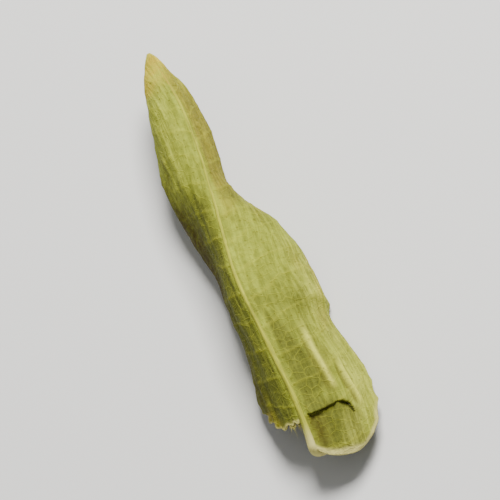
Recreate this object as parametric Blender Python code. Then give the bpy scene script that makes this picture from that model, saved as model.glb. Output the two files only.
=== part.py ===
"""One dried curry leaf at its real size, lying on a flat surface.

The leaf is worked out flat and then shaped. Flat, a point has a place along the midrib and a distance from it.
Both halves are then folded down from the midrib, the slopes of the two halves change places along the leaf, which
twists it, the midrib is arched, and the whole leaf is turned until it rests on its margins. The underside of the
leaf is outward, so the midrib and the side veins stand out as ridges on the outer face.

Lengths are in millimetres until the mesh is made, and angles in degrees. A share runs from 0 at the base of the
blade to 1 at its tip. Tables pair a share with a value.
"""

import bpy
import numpy as np

MM = 0.001
RIGHT, LEFT = 1, -1

# Driving sizes
BLADE_LENGTH = 41.3
BLADE_WIDTH = 16.4
THICKNESS = 0.64
SIDE_VEINS = 15

# The stalk: how far its rings reach under the blade, its growth towards its end, how steeply it points down where it
# leaves the blade and at its end, how far it leans to the right, the half angle of each ring that carries on the
# blade's outer face, and the columns of the right half that it takes in
STALK_LENGTH = 1.5
STALK_RADIUS = 0.45
STALK_TUCK = 0.3
STALK_GROWTH = 0.25
STALK_DROOP = (40, 125)
STALK_LEAN = 0.6
STALK_FACE = 80
STALK_COLUMNS = 3

# Outline: each half's width, the shares where it starts and where it is widest, and the powers of its two curves.
# The base is oblique: the right half reaches down to the stalk in a lobe, and the left half starts further up
HALF_WIDTH = {RIGHT: 0.525 * BLADE_WIDTH, LEFT: 0.475 * BLADE_WIDTH}
STARTS_AT = {RIGHT: 0.0, LEFT: 0.054}
WIDEST_AT = {RIGHT: 0.30, LEFT: 0.36}
BASE_POWERS = {RIGHT: (1.8, 0.22), LEFT: (1.8, 0.28)}
TIP_POWERS = {RIGHT: (1.7, 1.0), LEFT: (2.3, 1.0)}
LEAST_WIDTH = 0.3
LOBE_LENGTH = 1.6
LOBE_REACH = 4.0
LOBE_ROUND = 0.9
# How far the margin lies ahead of the place where its side vein starts
SWEEP = {RIGHT: 2.6, LEFT: 2.4}
SWEEP_CURVE = 1.35
SWEEP_SPREAD = 0.9
# Teeth of the margin, and places where the brittle margin has broken: side, place, depth, half-width
TOOTH_DEPTH = 0.20
TOOTHED_FROM_WIDTH = 3.0
NICK_LIMIT = 0.6
NICKS = ((LEFT, 3.1, 0.7, 0.25), (LEFT, 4.0, 0.5, 0.30), (RIGHT, 22.5, 0.45, 0.50), (LEFT, 28.0, 0.35, 0.45))

# The midrib's slope up and its turn to the right, along the leaf
MIDRIB_SLOPE = ((-0.05, 16), (0.13, 12), (0.32, 4), (0.56, -3), (0.76, -6), (0.90, -10), (1.0, -14))
MIDRIB_TURN = (
    (-0.05, 4), (0.05, 5), (0.13, 0), (0.30, -3), (0.38, -1), (0.44, 5), (0.60, 3.5), (0.68, 2), (0.78, 1),
    (0.85, -5), (0.93, -9), (1.0, -12),
)
# Each half's slope where it leaves the midrib and at its margin, and how late the first turns into the second
SLOPE_AT_RIB = {
    RIGHT: (
        (-0.05, -11), (0.13, -11), (0.32, -12), (0.45, -13), (0.53, -24), (0.60, -52), (0.67, -72),
        (0.77, -64), (0.88, -52), (1.0, -42),
    ),
    LEFT: (
        (-0.05, -44), (0.13, -48), (0.32, -61), (0.46, -62), (0.56, -54), (0.65, -40), (0.77, -24),
        (0.88, -16), (1.0, -12),
    ),
}
SLOPE_AT_MARGIN = {
    RIGHT: (
        (-0.05, -36), (0.12, -50), (0.21, -74), (0.29, -95), (0.38, -92), (0.45, -88), (0.55, -92),
        (0.65, -102), (0.77, -98), (0.88, -80), (1.0, -60),
    ),
    LEFT: (
        (-0.05, -70), (0.13, -80), (0.32, -108), (0.46, -108), (0.56, -100), (0.65, -92), (0.77, -80),
        (0.88, -72), (1.0, -60),
    ),
}
CURL_POWER = {
    RIGHT: ((-0.05, 2.4), (0.13, 2.2), (0.32, 1.7), (0.57, 1.5), (1.0, 1.2)),
    LEFT: ((-0.05, 1.2), (0.32, 1.2), (0.57, 1.4), (1.0, 1.6)),
}
FOLD_RADIUS = {RIGHT: 0.55, LEFT: 1.1}
# How far the fold's crest lies to the side of the line through its ends, and how far across this is felt
CREST_SHIFT = (
    (-0.05, 0), (0.0, 0), (0.08, -0.15), (0.20, -0.42), (0.36, -0.52), (0.56, -0.42), (0.72, -0.28), (0.88, -0.20),
    (1.0, 0),
)
CREST_REACH = 2.2
# A second crease runs through the right half near the base: shares where it starts and ends, its distance from the
# midrib there, how far the half dips before it, how far it turns down past it, and how sharp it is
CREASE_SHARES = (0.00, 0.31)
CREASE_DISTANCES = (5.3, 1.2)
CREASE_DIP = 9
CREASE_TURN = 16
CREASE_WIDTH = 0.35
CREASE_SPREAD = 0.6
# The half-width that the curl is spread over never falls below the one at this share
CURL_FROM, CURL_TO = 0.12, 0.97
CURL_BEYOND = 1.25
WAVE_HEIGHT = 0.30
WAVE_LENGTH = 7.6
WAVE_PHASE = {RIGHT: 0.6, LEFT: 2.3}

# Relief of the outer face
RIB_HEIGHT = (0.60, 0.12)
RIB_HALF_WIDTH = (0.55, 0.28)
VEIN_HEIGHT = 0.12
VEIN_HALF_WIDTH = 0.36
MARGIN_TAPER = 0.35
MARGIN_ROUND = 0.10

# How the leaf lies: turned about Y, then about X, then let down so that its lowest spots are flat
REST_ROLL = 11.51
REST_PITCH = 0.99
REST_SINK = 0.18

# Fineness of the mesh, and how far the list of points along the midrib reaches behind the base
SPINE_START = -8.0
ROWS_PER_VEIN = 6
COLUMNS_PER_HALF = 11
COLUMN_CROWDING = 1.25
FIRST_ROWS = (0.08, 0.22)
TIP_SHARE = 0.994
STALK_ROWS = 5
SPINE_STEP = 0.05
SMALL_STEP = 0.02
BEND_STEPS = 40

COLOUR = (0.42, 0.41, 0.16, 1.0)
ROUGHNESS = 0.72


def table(share, pairs):
    """Reads a table with a smooth curve through its pairs that never overshoots them."""
    places, values = np.array(pairs, float).T
    gaps = np.diff(places)
    rates = np.diff(values) / gaps
    slopes = np.concatenate([rates[:1], np.zeros(len(rates) - 1), rates[-1:]])
    rising = rates[:-1] * rates[1:] > 0
    inner = 2 * rates[:-1] * rates[1:] / np.where(rising, rates[:-1] + rates[1:], 1)
    slopes[1:-1] = np.where(rising, inner, 0)
    i = np.clip(np.searchsorted(places, share, side="right") - 1, 0, len(gaps) - 1)
    t = np.clip((share - places[i]) / gaps[i], 0, 1)
    start = (1 + 2 * t) * (1 - t) ** 2 * values[i] + t * (1 - t) ** 2 * gaps[i] * slopes[i]
    end = t * t * (3 - 2 * t) * values[i + 1] - t * t * (1 - t) * gaps[i] * slopes[i + 1]
    return start + end


def half_width(share, side):
    """Width of one half, which rises in a curve from where it starts and falls in another to the tip."""
    start, widest = STARTS_AT[side], WIDEST_AT[side]
    before = np.clip((widest - share) / (widest - start), 0, 1)
    after = np.clip((share - widest) / (1 - widest), 0, 1)
    rise = (1 - before ** BASE_POWERS[side][0]) ** BASE_POWERS[side][1]
    fall = (1 - after ** TIP_POWERS[side][0]) ** TIP_POWERS[side][1]
    return np.maximum(HALF_WIDTH[side] * rise * fall, LEAST_WIDTH)


def margin_width(share, side):
    """Width of one half out to its toothed margin, with a tooth for each half vein and the broken places."""
    width = half_width(share, side)
    along = BLADE_LENGTH * share
    teeth = 0.5 - 0.5 * np.cos(2 * np.pi * share * SIDE_VEINS * 2)
    loss = TOOTH_DEPTH * teeth * np.clip(width / TOOTHED_FROM_WIDTH, 0, 1)
    for nick_side, place, depth, spread in NICKS:
        if nick_side == side:
            loss = loss + depth * np.exp(-(((along - place) / spread) ** 2))
    return width - np.minimum(loss, NICK_LIMIT * width)


def flat_place(share, out, side):
    """Flat place of the point a given part of the way out along the side vein that starts at a share."""
    start = BLADE_LENGTH * share
    sweep = SWEEP[side] * np.sin(np.pi * share) ** SWEEP_SPREAD
    across = margin_width(share, side) * out
    lobe = LOBE_LENGTH * np.exp(-start / LOBE_REACH) * (1 - np.exp(-across / LOBE_ROUND)) * (side == RIGHT)
    return start + sweep * out**SWEEP_CURVE - lobe, across


def spine():
    """Places along the midrib, with its points and its forward, sideways and upward directions there."""
    places = np.arange(SPINE_START, BLADE_LENGTH + SPINE_STEP, SPINE_STEP)
    slope = np.radians(table(places / BLADE_LENGTH, MIDRIB_SLOPE))
    turn = np.radians(table(places / BLADE_LENGTH, MIDRIB_TURN))
    ahead = np.stack([np.cos(slope) * np.sin(turn), np.cos(slope) * np.cos(turn), np.sin(slope)], axis=1)
    steps = (ahead[1:] + ahead[:-1]) / 2 * SPINE_STEP
    points = np.concatenate([np.zeros((1, 3)), np.cumsum(steps, axis=0)])
    points -= at_place(places, points, np.zeros(1))[0]
    sideways = np.stack([np.cos(turn), -np.sin(turn), np.zeros_like(turn)], axis=1)
    return places, points, ahead, sideways, np.cross(sideways, ahead)


def at_place(places, values, wanted):
    """Reads a list of points or directions along the midrib at the wanted places."""
    return np.stack([np.interp(wanted, places, values[:, k]) for k in range(3)], axis=-1)


def creased(share, distance):
    """Slope that the crease adds: a dip that turns into a rise before it, and a fall past it."""
    start, end = CREASE_SHARES
    part = np.clip((share - start) / (end - start), 0, 1)
    strength = np.sin(np.pi * part) ** CREASE_SPREAD
    crease = CREASE_DISTANCES[0] + (CREASE_DISTANCES[1] - CREASE_DISTANCES[0]) * part
    past = 1 / (1 + np.exp(-(distance - crease) / CREASE_WIDTH))
    dip = -np.cos(np.pi * np.clip(distance / crease, 0, 1)) * CREASE_DIP * (1 - past)
    return strength * (dip - CREASE_TURN * past)


def folded(along, across, side):
    """How far sideways and up a flat point moves as its half is bent: the sums of its slopes' sines and cosines."""
    share = np.clip(along / BLADE_LENGTH, -0.05, 1.0)
    at_rib = table(share, SLOPE_AT_RIB[side])[..., None]
    at_margin = table(share, SLOPE_AT_MARGIN[side])[..., None]
    power = table(share, CURL_POWER[side])[..., None]
    crest = (at_rib - table(share, SLOPE_AT_RIB[-side])[..., None]) / 2
    reach = half_width(np.clip(share, CURL_FROM, CURL_TO), side)[..., None]
    distance = across[..., None] * (np.arange(BEND_STEPS) + 0.5) / BEND_STEPS
    slope = at_rib + (at_margin - at_rib) * np.clip(distance / reach, 0, CURL_BEYOND) ** power
    if side == RIGHT:
        slope = slope + creased(share[..., None], distance)
    slope = slope + (crest - at_rib) * np.exp(-((distance / FOLD_RADIUS[side]) ** 2))
    slope = np.radians(slope)
    wave = np.sin(2 * np.pi * along / WAVE_LENGTH + WAVE_PHASE[side])
    up = np.sin(slope).mean(-1) * across + WAVE_HEIGHT * (across / HALF_WIDTH[side]) ** 2 * wave
    shift = table(share, CREST_SHIFT) * np.exp(-((across / CREST_REACH) ** 2))
    return side * np.cos(slope).mean(-1) * across + shift, up


def shaped(along, across, side):
    """Points of one half of the folded middle surface from their flat places."""
    places, points, _, sideways, upward = spine()
    aside, up = folded(along, across, side)
    half = at_place(places, points, along) + aside[..., None] * at_place(places, sideways, along)
    return half + up[..., None] * at_place(places, upward, along)


def middle_sheet(shares, outs):
    """The blade's middle surface, rows from base to tip and columns from the left margin to the right one, and unit
    directions square to it, towards the outer face, from one small step outward and one back along the leaf."""
    halves = []
    for side in (LEFT, RIGHT):
        share, out = np.meshgrid(shares, outs, indexing="ij")
        along, across = flat_place(share, out, side)
        half = shaped(along, across, side)
        further = shaped(along, across + SMALL_STEP, side) - half
        ahead = half - shaped(along - SMALL_STEP, across, side)
        normal = side * np.cross(further, ahead)
        halves.append((half, normal / np.linalg.norm(normal, axis=2, keepdims=True)))
    return [np.concatenate([left[:, :0:-1], right], axis=1) for left, right in zip(*halves)]


def relief(shares, outs):
    """Height of the midrib and the side veins over the outer face, in the sheet's rows and columns."""
    share = shares[:, None]
    rib_height = RIB_HEIGHT[0] + (RIB_HEIGHT[1] - RIB_HEIGHT[0]) * share
    rib_width = RIB_HALF_WIDTH[0] + (RIB_HALF_WIDTH[1] - RIB_HALF_WIDTH[0]) * share
    halves = []
    for side in (LEFT, RIGHT):
        across = half_width(share, side) * outs[None, :]
        rib = rib_height * np.exp(-((across / rib_width) ** 2))
        beside = (share * SIDE_VEINS % 1 - 0.5) * BLADE_LENGTH / SIDE_VEINS
        vein = VEIN_HEIGHT * np.exp(-((beside / VEIN_HALF_WIDTH) ** 2)) * (1 - outs[None, :] ** 4)
        halves.append(rib + vein * (1 - rib / rib_height))
    return np.concatenate([halves[0][:, :0:-1], halves[1]], axis=1)


def blade_rings(shares, outs):
    """One closed ring of points for each row: outer face left to right, right margin, inner face, left margin."""
    sheet, normal = middle_sheet(shares, outs)
    signed = np.concatenate([-outs[:0:-1], outs])
    half = THICKNESS / 2 * (1 - MARGIN_TAPER * np.abs(signed) ** 6)[None, :, None]
    outer = sheet + normal * (half + relief(shares, outs)[..., None])
    inner = sheet - normal * half
    edges = []
    for margin, inside in ((-1, -2), (0, 1)):
        away = sheet[:, margin] - sheet[:, inside]
        away /= np.linalg.norm(away, axis=1, keepdims=True)
        edges.append((sheet[:, margin] + MARGIN_ROUND * away)[:, None])
    return np.concatenate([outer, edges[0], inner[:, ::-1], edges[1]], axis=1)


def stalk_rings(outs):
    """Round rings of the short stalk, from its cut end to the base of the blade, hooked down and under the lobe."""
    places, points, ahead, sideways, upward = spine()
    base, forward, aside, up = (at_place(places, v, np.zeros(1))[0] for v in (points, ahead, sideways, upward))
    signed = np.concatenate([-outs[:0:-1], outs[:STALK_COLUMNS + 1] / outs[STALK_COLUMNS]])
    turn = np.radians(STALK_FACE) * signed
    around = np.concatenate([turn, np.pi - turn[::-1], [-np.pi / 2]])[:, None]
    rings, centre = [], base - STALK_TUCK * forward
    for k in range(STALK_ROWS):
        part = k / (STALK_ROWS - 1)
        droop = np.radians(STALK_DROOP[0] + (STALK_DROOP[1] - STALK_DROOP[0]) * part)
        heading = STALK_LEAN * part * aside - np.cos(droop) * forward - np.sin(droop) * up
        heading /= np.linalg.norm(heading)
        across = aside - (aside @ heading) * heading
        across /= np.linalg.norm(across)
        if k:
            centre = centre + heading * STALK_LENGTH / (STALK_ROWS - 1)
        radius = STALK_RADIUS * (1 + STALK_GROWTH * part**2)
        rings.append(centre + radius * (np.sin(around) * across + np.cos(around) * np.cross(heading, across)))
    return np.array(rings[::-1])


def band(first, second, outer):
    """Triangles between rings that follow each other. Cells of the outer face are split the other way round, so that
    both faces of the blade are split alike."""
    a, b = first, second
    c, d = np.roll(b, -1, axis=1), np.roll(a, -1, axis=1)
    one = np.where(outer[None, :, None], np.stack([a, d, c], 2), np.stack([a, d, b], 2))
    two = np.where(outer[None, :, None], np.stack([a, c, b], 2), np.stack([d, c, b], 2))
    return np.concatenate([one.reshape(-1, 3), two.reshape(-1, 3)])


def skin(stalk, blade):
    """Closes both sets of rings. The stalk's last ring meets the midrib's part of the blade's first ring, a wall closes
    the rest of that ring, which is the edge of the lobe, and a fan closes the stalk's end and the tip."""
    columns = blade.shape[1] // 2 - 1
    last = columns // 2 + STALK_COLUMNS
    stem = np.arange(stalk.shape[0] * stalk.shape[1]).reshape(stalk.shape[:2])
    leaf = stem.size + np.arange(blade.shape[0] * blade.shape[1]).reshape(blade.shape[:2])
    met = np.concatenate([leaf[0, :last + 1], leaf[0, 2 * columns - last:]])
    stem_rows = np.concatenate([stem, met[None]])
    outer = np.arange(blade.shape[1]) < columns
    over = leaf[0, last:columns + 1]
    under = leaf[0, columns:2 * columns - last + 1][::-1]
    wall = np.concatenate([
        np.stack([over[1:], over[:-1], under[:-1]], axis=1),
        np.stack([over[1:-1], under[:-2], under[1:-1]], axis=1),
    ])
    middles = stem.size + leaf.size
    ends = [
        np.stack([stem[0], np.full(stem.shape[1], middles), np.roll(stem[0], -1)], axis=1),
        np.stack([np.roll(leaf[-1], -1), np.full(leaf.shape[1], middles + 1), leaf[-1]], axis=1),
    ]
    triangles = np.concatenate([
        band(stem_rows[:-1], stem_rows[1:], np.zeros(stem.shape[1], bool)), band(leaf[:-1], leaf[1:], outer),
        wall, *ends,
    ])
    centres = np.stack([stalk[0].mean(0), blade[-1].mean(0)])
    return np.concatenate([stalk.reshape(-1, 3), blade.reshape(-1, 3), centres]), triangles


def settled(points):
    """Turns the leaf into its resting position, with its low spots flat on Z = 0 and its box centred on Z."""
    roll, pitch = np.radians(REST_ROLL), np.radians(REST_PITCH)
    about_y = np.array([[np.cos(roll), 0, np.sin(roll)], [0, 1, 0], [-np.sin(roll), 0, np.cos(roll)]])
    about_x = np.array([[1, 0, 0], [0, np.cos(pitch), -np.sin(pitch)], [0, np.sin(pitch), np.cos(pitch)]])
    points = points @ (about_x @ about_y).T
    points[:, 2] = np.maximum(points[:, 2] - points[:, 2].min() - REST_SINK, 0)
    points[:, :2] -= (points[:, :2].min(0) + points[:, :2].max(0)) / 2
    return points


def leaf_rows():
    """Shares of the rows: even steps that match the side veins, with a few more where the base opens quickly."""
    even = np.arange(1, SIDE_VEINS * ROWS_PER_VEIN) / (SIDE_VEINS * ROWS_PER_VEIN)
    return np.concatenate([np.array(FIRST_ROWS) / BLADE_LENGTH, even, [TIP_SHARE]])


def leaf_material():
    """Dull olive of the leaf's dried underside."""
    material = bpy.data.materials.new("dried_leaf")
    material.use_nodes = True
    shader = material.node_tree.nodes["Principled BSDF"]
    shader.inputs["Base Color"].default_value = COLOUR
    shader.inputs["Roughness"].default_value = ROUGHNESS
    shader.inputs["Metallic"].default_value = 0.0
    return material


def make_leaf():
    """The whole leaf in one piece: blade, midrib, side veins and stalk."""
    outs = np.linspace(0, 1, COLUMNS_PER_HALF + 1) ** COLUMN_CROWDING
    points, triangles = skin(stalk_rings(outs), blade_rings(leaf_rows(), outs))
    mesh = bpy.data.meshes.new("leaf")
    mesh.from_pydata((settled(points) * MM).tolist(), [], triangles.tolist())
    mesh.materials.append(leaf_material())
    mesh.shade_smooth()
    leaf = bpy.data.objects.new("leaf", mesh)
    bpy.context.scene.collection.objects.link(leaf)
    return leaf


def main():
    for item in list(bpy.data.objects):
        bpy.data.objects.remove(item)
    make_leaf()


if __name__ == "__main__":
    main()
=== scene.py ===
import bpy
import numpy as np
from bpy.props import FloatProperty, FloatVectorProperty, IntProperty, PointerProperty
from bpy.types import Operator, Panel, PropertyGroup
from mathutils import Matrix, Vector


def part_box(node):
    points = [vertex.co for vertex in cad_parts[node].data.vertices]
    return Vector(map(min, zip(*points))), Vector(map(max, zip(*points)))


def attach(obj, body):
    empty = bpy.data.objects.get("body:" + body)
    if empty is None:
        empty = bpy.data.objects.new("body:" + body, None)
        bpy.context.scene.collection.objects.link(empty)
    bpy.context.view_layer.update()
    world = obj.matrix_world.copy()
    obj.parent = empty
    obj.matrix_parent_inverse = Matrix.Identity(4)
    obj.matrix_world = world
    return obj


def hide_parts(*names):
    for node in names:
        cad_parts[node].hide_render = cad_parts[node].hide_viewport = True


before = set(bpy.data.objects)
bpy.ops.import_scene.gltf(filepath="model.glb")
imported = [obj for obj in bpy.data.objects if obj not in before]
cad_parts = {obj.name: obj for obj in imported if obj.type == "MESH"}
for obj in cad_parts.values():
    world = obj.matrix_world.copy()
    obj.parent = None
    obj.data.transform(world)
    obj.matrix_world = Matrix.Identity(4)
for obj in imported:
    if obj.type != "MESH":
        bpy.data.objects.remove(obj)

bl_info = {
    "name": "Dried curry leaf",
    "version": (1, 0, 0),
    "blender": (4, 5, 0),
    "location": "3D View > Sidebar > Curry leaf",
    "description": "Makes a dried, folded curry leaf with its midrib, stalk and torn base, and the stage it lies on",
    "category": "Add Mesh",
}

MM = 0.001
RIGHT, LEFT = 1, -1
NODE = "leaf"
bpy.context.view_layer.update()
LOW, HIGH = (np.array(corner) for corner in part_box(NODE))

# --- Tables of the leaf's form. Lengths are in millimetres, angles in degrees, and a share runs from base to tip ---

# Outline of each half: where it starts and is widest, powers of its rise and of its fall, and its part of the width
STARTS_AT = {RIGHT: 0.0, LEFT: 0.054}
WIDEST_AT = {RIGHT: 0.30, LEFT: 0.36}
BASE_POWERS = {RIGHT: (1.8, 0.22), LEFT: (1.8, 0.28)}
TIP_POWERS = {RIGHT: (1.7, 1.0), LEFT: (2.3, 1.0)}
HALF_SHARE = {RIGHT: 0.525, LEFT: 0.475}
LEAST_WIDTH = 0.15
# Lobe at the right half's base: how far down it reaches, how far up the leaf it fades, and how round it is
LOBE_LENGTH, LOBE_REACH, LOBE_ROUND = 1.6, 4.0, 0.9
# How far forward of its start a side vein ends, and the powers of its bend and of its fading at both ends
SWEEP = {RIGHT: 2.6, LEFT: 2.4}
SWEEP_CURVE, SWEEP_SPREAD = 1.35, 0.9
# Slope and turn of the midrib along the leaf
MIDRIB_SLOPE = ((-0.05, 16), (0.13, 12), (0.32, 4), (0.56, -3), (0.76, -6), (0.90, -10), (1.0, -14))
MIDRIB_TURN = (
    (-0.05, 4), (0.05, 5), (0.13, 0), (0.30, -3), (0.38, -1), (0.44, 5), (0.60, 3.5), (0.68, 2), (0.78, 1),
    (0.85, -5), (0.93, -9), (1.0, -12),
)
# Slope of each half beside the midrib and at its margin, and the power of the curl between them
SLOPE_AT_RIB = {
    RIGHT: (
        (-0.05, -11), (0.13, -11), (0.32, -12), (0.45, -13), (0.53, -24), (0.60, -52), (0.67, -72),
        (0.77, -64), (0.88, -52), (1.0, -42),
    ),
    LEFT: (
        (-0.05, -44), (0.13, -48), (0.32, -61), (0.46, -62), (0.56, -54), (0.65, -40), (0.77, -24),
        (0.88, -16), (1.0, -12),
    ),
}
SLOPE_AT_MARGIN = {
    RIGHT: (
        (-0.05, -36), (0.12, -50), (0.21, -74), (0.29, -95), (0.38, -92), (0.45, -88), (0.55, -92),
        (0.65, -102), (0.77, -98), (0.88, -80), (1.0, -60),
    ),
    LEFT: (
        (-0.05, -70), (0.13, -80), (0.32, -108), (0.46, -108), (0.56, -100), (0.65, -92), (0.77, -80),
        (0.88, -72), (1.0, -60),
    ),
}
CURL_POWER = {
    RIGHT: ((-0.05, 2.4), (0.13, 2.2), (0.32, 1.7), (0.57, 1.5), (1.0, 1.2)),
    LEFT: ((-0.05, 1.2), (0.32, 1.2), (0.57, 1.4), (1.0, 1.6)),
}
# Radius of the fold, how far its crest lies to the right of the spine, and how far across that reaches
FOLD_RADIUS = {RIGHT: 0.55, LEFT: 1.1}
CREST_SHIFT = (
    (-0.05, 0), (0.0, 0), (0.08, -0.15), (0.20, -0.42), (0.36, -0.52), (0.56, -0.42), (0.72, -0.28), (0.88, -0.20),
    (1.0, 0),
)
CREST_REACH = 2.2
# Soft crease of the right half: its shares and its distances from the midrib at both ends, the dip before it, the
# turn past it, how wide it is and the power of its fading
CREASE_SHARES, CREASE_DISTANCES = (0.00, 0.31), (5.3, 1.2)
CREASE_DIP, CREASE_TURN, CREASE_WIDTH, CREASE_SPREAD = 9, 16, 0.35, 0.6
# Shares between which the curl follows the half's width, and how many widths out it goes on
CURL_FROM, CURL_TO, CURL_BEYOND = 0.12, 0.97, 1.25
# Wave of the margins
WAVE_HEIGHT, WAVE_LENGTH = 0.30, 7.6
WAVE_PHASE = {RIGHT: 0.6, LEFT: 2.3}
# How the leaf lies: its roll, its pitch and then its place
REST_ROLL, REST_PITCH = 11.51, 0.99
REST_SHIFT = (-1.3783, -19.5872, 4.0419)
# Steps of the spine, of the small steps on the surface and of the sums across a half
SPINE_START, SPINE_STEP, SMALL_STEP, BEND_STEPS = -8.0, 0.05, 0.02, 40
# A distance that counts as far from every free edge
FAR_FROM_EDGE = 9

# Stalk: growth towards its end, how steeply it points down where it leaves the blade and at its end, lean to the right
STALK_GROWTH, STALK_DROOP, STALK_LEAN = 0.25, (40, 125), 0.6

# Margin: depth of its teeth, how far they wander, lean and vary, from what width they are whole, how ragged it is
# between them, and the part of the width that may be lost
TOOTH_DEPTH, TOOTH_WANDER, TOOTH_LEAN, TOOTH_VARIES = 0.17, 0.35, 0.10, 0.6
TOOTHED_FROM_WIDTH, RAGGED, NICK_LIMIT = 3.0, 0.05, 0.6
# Broken places of the margin, as side, place along the leaf, depth and half-width
NICKS = (
    (LEFT, 3.1, 0.7, 0.25), (LEFT, 4.0, 0.5, 0.30), (RIGHT, 22.5, 0.45, 0.50), (LEFT, 28.0, 0.35, 0.45),
    (LEFT, 9.6, 0.18, 0.14), (LEFT, 15.2, 0.24, 0.20), (LEFT, 21.7, 0.16, 0.12), (LEFT, 33.4, 0.20, 0.16),
    (RIGHT, 6.3, 0.14, 0.12), (RIGHT, 12.1, 0.20, 0.18), (RIGHT, 17.8, 0.16, 0.13), (RIGHT, 30.6, 0.22, 0.18),
    (RIGHT, 35.2, 0.15, 0.12),
)
# Jags of the left half's torn base: how far they reach, and how far up the leaf they fade
JAG_LENGTH, JAG_REACH = 0.42, 0.9
# Two sharp creases of the right half: places along and across their lines, how far each stands out, and how wide they
# are. Then the furrows: how wide, how far beside the creases and what part of their height deep
CREASES = (
    (((3.9, 3.35), (4.4, 3.20), (5.0, 3.06), (6.0, 2.96), (7.0, 2.86), (8.0, 2.78), (9.0, 2.76), (10.0, 2.84),
      (11.4, 3.1)), 0.24),
    (((2.3, 5.25), (2.9, 5.00), (3.5, 4.80), (4.2, 4.62), (4.9, 4.50), (5.6, 4.45), (6.4, 4.60), (7.3, 5.0)), 0.22),
)
CREASE_HALF_WIDTH = 0.25
FURROW_WIDTH, FURROW_BESIDE, FURROW_DEPTH = 0.17, 0.42, 0.5
# The tear across the right half, as places along and across the flat leaf, and its half-width at parts of its way
TEAR = (
    (2.70, 0.38), (2.76, 0.75), (2.80, 1.20), (2.94, 1.75), (3.06, 2.30), (3.10, 2.90), (3.14, 3.35), (3.00, 3.75),
    (2.45, 4.05), (1.70, 4.20),
)
TEAR_HALF_WIDTH = (
    (0, -0.1), (0.05, 0.06), (0.16, 0.13), (0.34, 0.09), (0.50, 0.05), (0.59, 0.03), (0.70, 0.09), (0.85, 0.10),
    (0.89, -0.05), (1, -0.1),
)
# How ragged the tear is, where on its way it is bridged, over what part of it, and by how much its edges close there
TEAR_RAGGED, BRIDGE_AT, BRIDGE_SPREAD, BRIDGE_CLOSES = 0.45, 0.59, 0.06, 0.8

# Heights that drying leaves on the blade: long folds, pillows between veins, dents, fine crinkles and the rim's curl
LONG_FOLDS, PILLOWS, DENTS, CRINKLES, RIM_CURL = 0.13, 0.020, 0.17, 0.022, 0.13
# Depth of the lobe's hollow, how far the tear's flap lies down and its other edge up, and how far it is pushed under
HOLLOW_DEPTH, FLAP_DOWN, FLAP_UP, TEAR_OVERLAP = 0.12, 0.16, 0.20, 0.20
# How far the midrib is pressed out and in, how wide that is, the height of the grain and the roundness of the margin
RIB_OUT, RIB_IN, RIB_SPREAD, GRAIN_HEIGHT, MARGIN_ROUND = 0.12, 0.10, 0.42, 0.005, 0.05

# Side veins: where the first starts, in vein spaces, how far they waver, coarsely and finely, how many spaces above
# the sheet's rows they end, how many they bend up to join, and their half-width at the midrib and at the margin
VEIN_START, VEIN_WANDER = {RIGHT: 0.5, LEFT: 0.18}, (0.13, 0.06)
VEIN_LEAN, VEIN_JOIN, VEIN_WIDTHS = 0.55, 0.38, (0.15, 0.09)
# Weaker veins between them, as half-width and strength, and the loop where they join, as place, width and strength
WEAK_WIDTH, WEAK_STRENGTH = 0.08, 0.4
LOOP_AT, LOOP_WIDTH, LOOP_STRENGTH = 0.90, 0.016, 0.45

# Fineness of the meshes
ROWS, COLUMNS_PER_HALF, COLUMN_CROWDING = 368, 61, 1.45
FIRST_SHARE, LAST_SHARE = 0.0020, 0.9955
RIB_ROWS, RIB_AROUND, STALK_ROWS, CAP_RINGS = 460, 30, 70, 5
RIB_END, RIB_BURIED, CAP_DEPTH = 0.992, 0.12, 0.10
FIBRES, FIBRE_STEPS, FIBRE_AROUND, FIBRE_ROOT = 26, 10, 6, 0.0006

# UV map: millimetres in its whole width, the place of the leaf's base, the shift of the inner face, millimetres that
# a radian round the midrib takes, and how wide a face at its seam is and up to where it is carried on
UV_SPAN, UV_START, INNER_SHIFT = 60, (0.25, 0.12), 0.5
RIB_UNROLLED, SEAM_SPAN, SEAM_EDGE = 0.45, 0.02, 0.265
# How deep the finishes' relief is, in metres
BUMP_DISTANCE = 0.00004

# Camera and light directions in the leaf's frame: towards the camera and up in the picture
TOWARDS_CAMERA = (0.1216, -0.5120, 0.8503)
PICTURE_UP = (0.4439, 0.7943, 0.4148)
# Lights, from the camera's view: to the right, up, towards it, distance and size in metres, and colour
KEY_LIGHT = (-0.05, 0.82, 0.57), 0.35, 0.16, (1.0, 0.985, 0.95)
FILL_LIGHT = (-0.8, 0.1, 0.9), 0.45, 0.40, (0.95, 0.97, 1.0)
FLOOR_HALF, SENSOR = 1.5, 36

LENGTH = {"unit": "LENGTH", "precision": 5}
TINT = {"subtype": "COLOR", "min": 0, "max": 1}


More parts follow.
